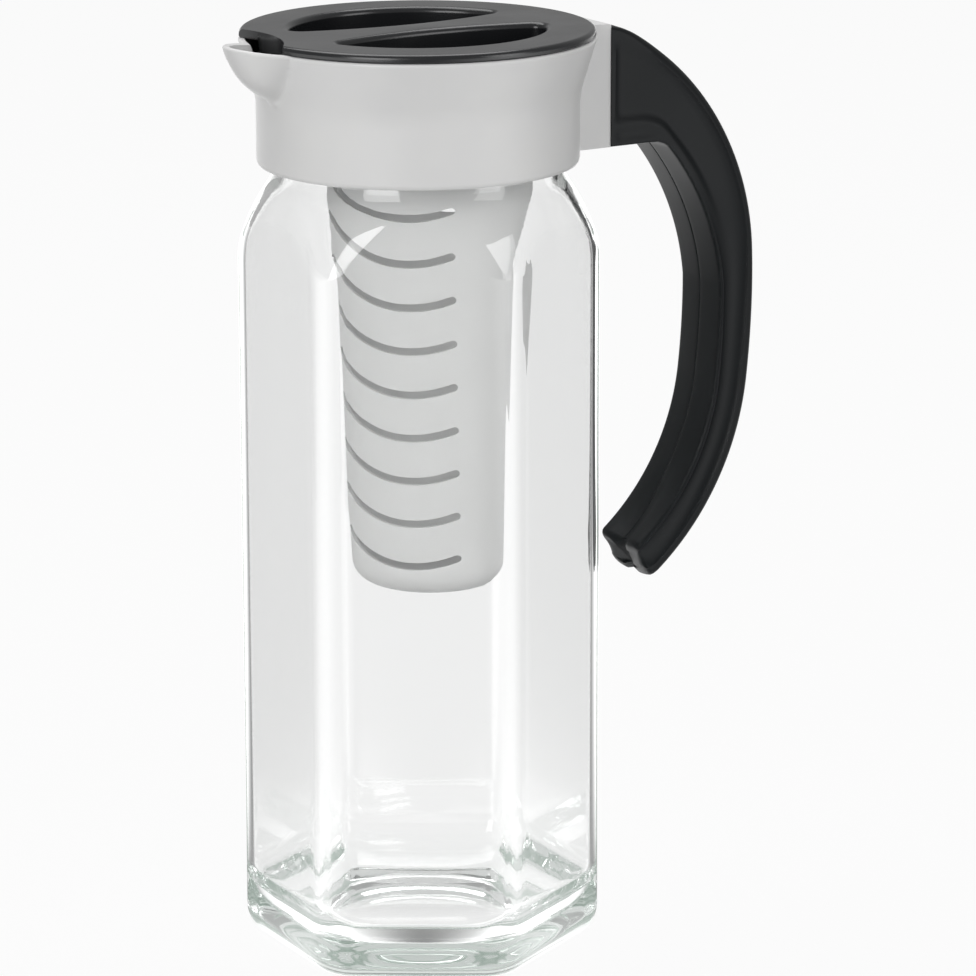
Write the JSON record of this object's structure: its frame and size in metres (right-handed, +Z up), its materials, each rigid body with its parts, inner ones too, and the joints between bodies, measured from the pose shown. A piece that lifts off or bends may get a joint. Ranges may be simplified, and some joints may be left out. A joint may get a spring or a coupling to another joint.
{
  "type": "fruit infuser pitcher",
  "caption": "Tall six-sided glass pitcher with a grey spouted collar, a dark open-ended handle, and a flat turning lid that hangs a long slotted infuser basket inside.",
  "frame": {"origin": "centre of the base's resting plane, on the jug's upright axis", "axes": "+Z up, +X toward the handle, pouring lip toward -X"},
  "size_m": [0.1791, 0.1082, 0.282],
  "materials": {
    "clear_glass": "clear, polished",
    "grey_plastic": "satin",
    "dark_plastic": "satin",
    "silicone": "matte"
  },
  "bodies": {
    "jug": {"glass_jug": "clear_glass", "collar": "grey_plastic", "neck_seal": "silicone", "handle_near_shell": "dark_plastic", "handle_far_shell": "dark_plastic"},
    "seal": {"lid_seal": "silicone"},
    "lid": {"lid_cap": "dark_plastic", "lid_plug": "dark_plastic"},
    "basket": {"infuser_basket": "grey_plastic"}
  },
  "joints": [
    {"name": "lid_lift", "type": "slide", "parent": "jug", "child": "seal", "axis": [0, 0, 1], "range_m": [0, 0.178]},
    {"name": "lid_turn", "type": "hinge", "parent": "seal", "child": "lid", "pos_m": [0, 0, 0.2794], "axis": [0, 0, 1], "continuous": true},
    {"name": "basket_release", "type": "slide", "parent": "lid", "child": "basket", "axis": [0, 0, -1], "range_m": [0, 0.03]}
  ]
}
